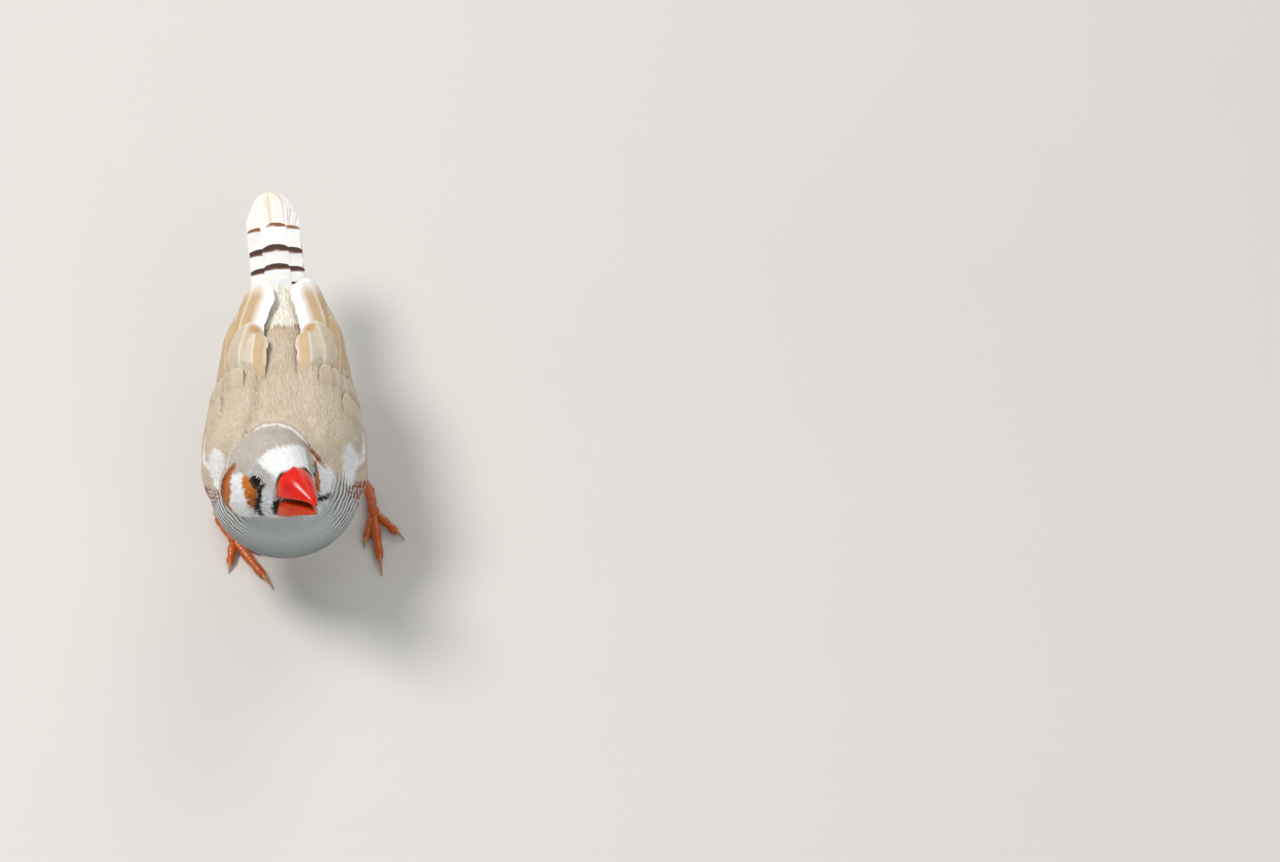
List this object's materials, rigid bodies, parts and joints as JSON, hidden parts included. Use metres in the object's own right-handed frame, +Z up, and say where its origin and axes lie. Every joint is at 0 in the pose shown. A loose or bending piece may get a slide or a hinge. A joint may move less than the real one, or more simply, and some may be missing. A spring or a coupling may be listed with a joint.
{
  "type": "zebra finch model",
  "caption": "still life-size model of a standing male zebra finch, head turned and lifted, with folded wings, closed tail and slightly open bill",
  "frame": {"origin": "the middle of the bird's box, at the level of the floor that its feet stand on", "axes": "+Z up, the bird faces -Y, +X is the bird's left side"},
  "size_m": [0.0476, 0.1116, 0.0554],
  "materials": {
    "face_plumage": "soft small feathers, white with grey crown",
    "throat_plumage": "soft silvery grey feathers with fine dark barring",
    "body_plumage": "soft fawn feathers above, off-white below",
    "wing_feathers": "smooth fawn flight feathers with white edges",
    "tail_feathers": "smooth cream feathers under white coverts barred dark brown",
    "shin_plumage": "soft off-white feathers",
    "bill_red": "semi-gloss horn, scarlet",
    "bill_orange": "semi-gloss horn, deep orange",
    "eye": "wet gloss, dark red-brown",
    "leg_skin": "scaly orange skin with paler horn claws"
  },
  "bodies": {
    "root": {"head": "face_plumage", "neck": "throat_plumage", "torso": "body_plumage", "bill_upper": "bill_red", "bill_lower": "bill_orange", "tail": "tail_feathers", "eye_left": "eye", "eye_right": "eye", "wing_left": "wing_feathers", "wing_right": "wing_feathers", "shin_left": "shin_plumage", "shin_right": "shin_plumage", "shank_left": "leg_skin", "shank_right": "leg_skin", "foot_left": "leg_skin", "foot_right": "leg_skin"}
  },
  "joints": []
}
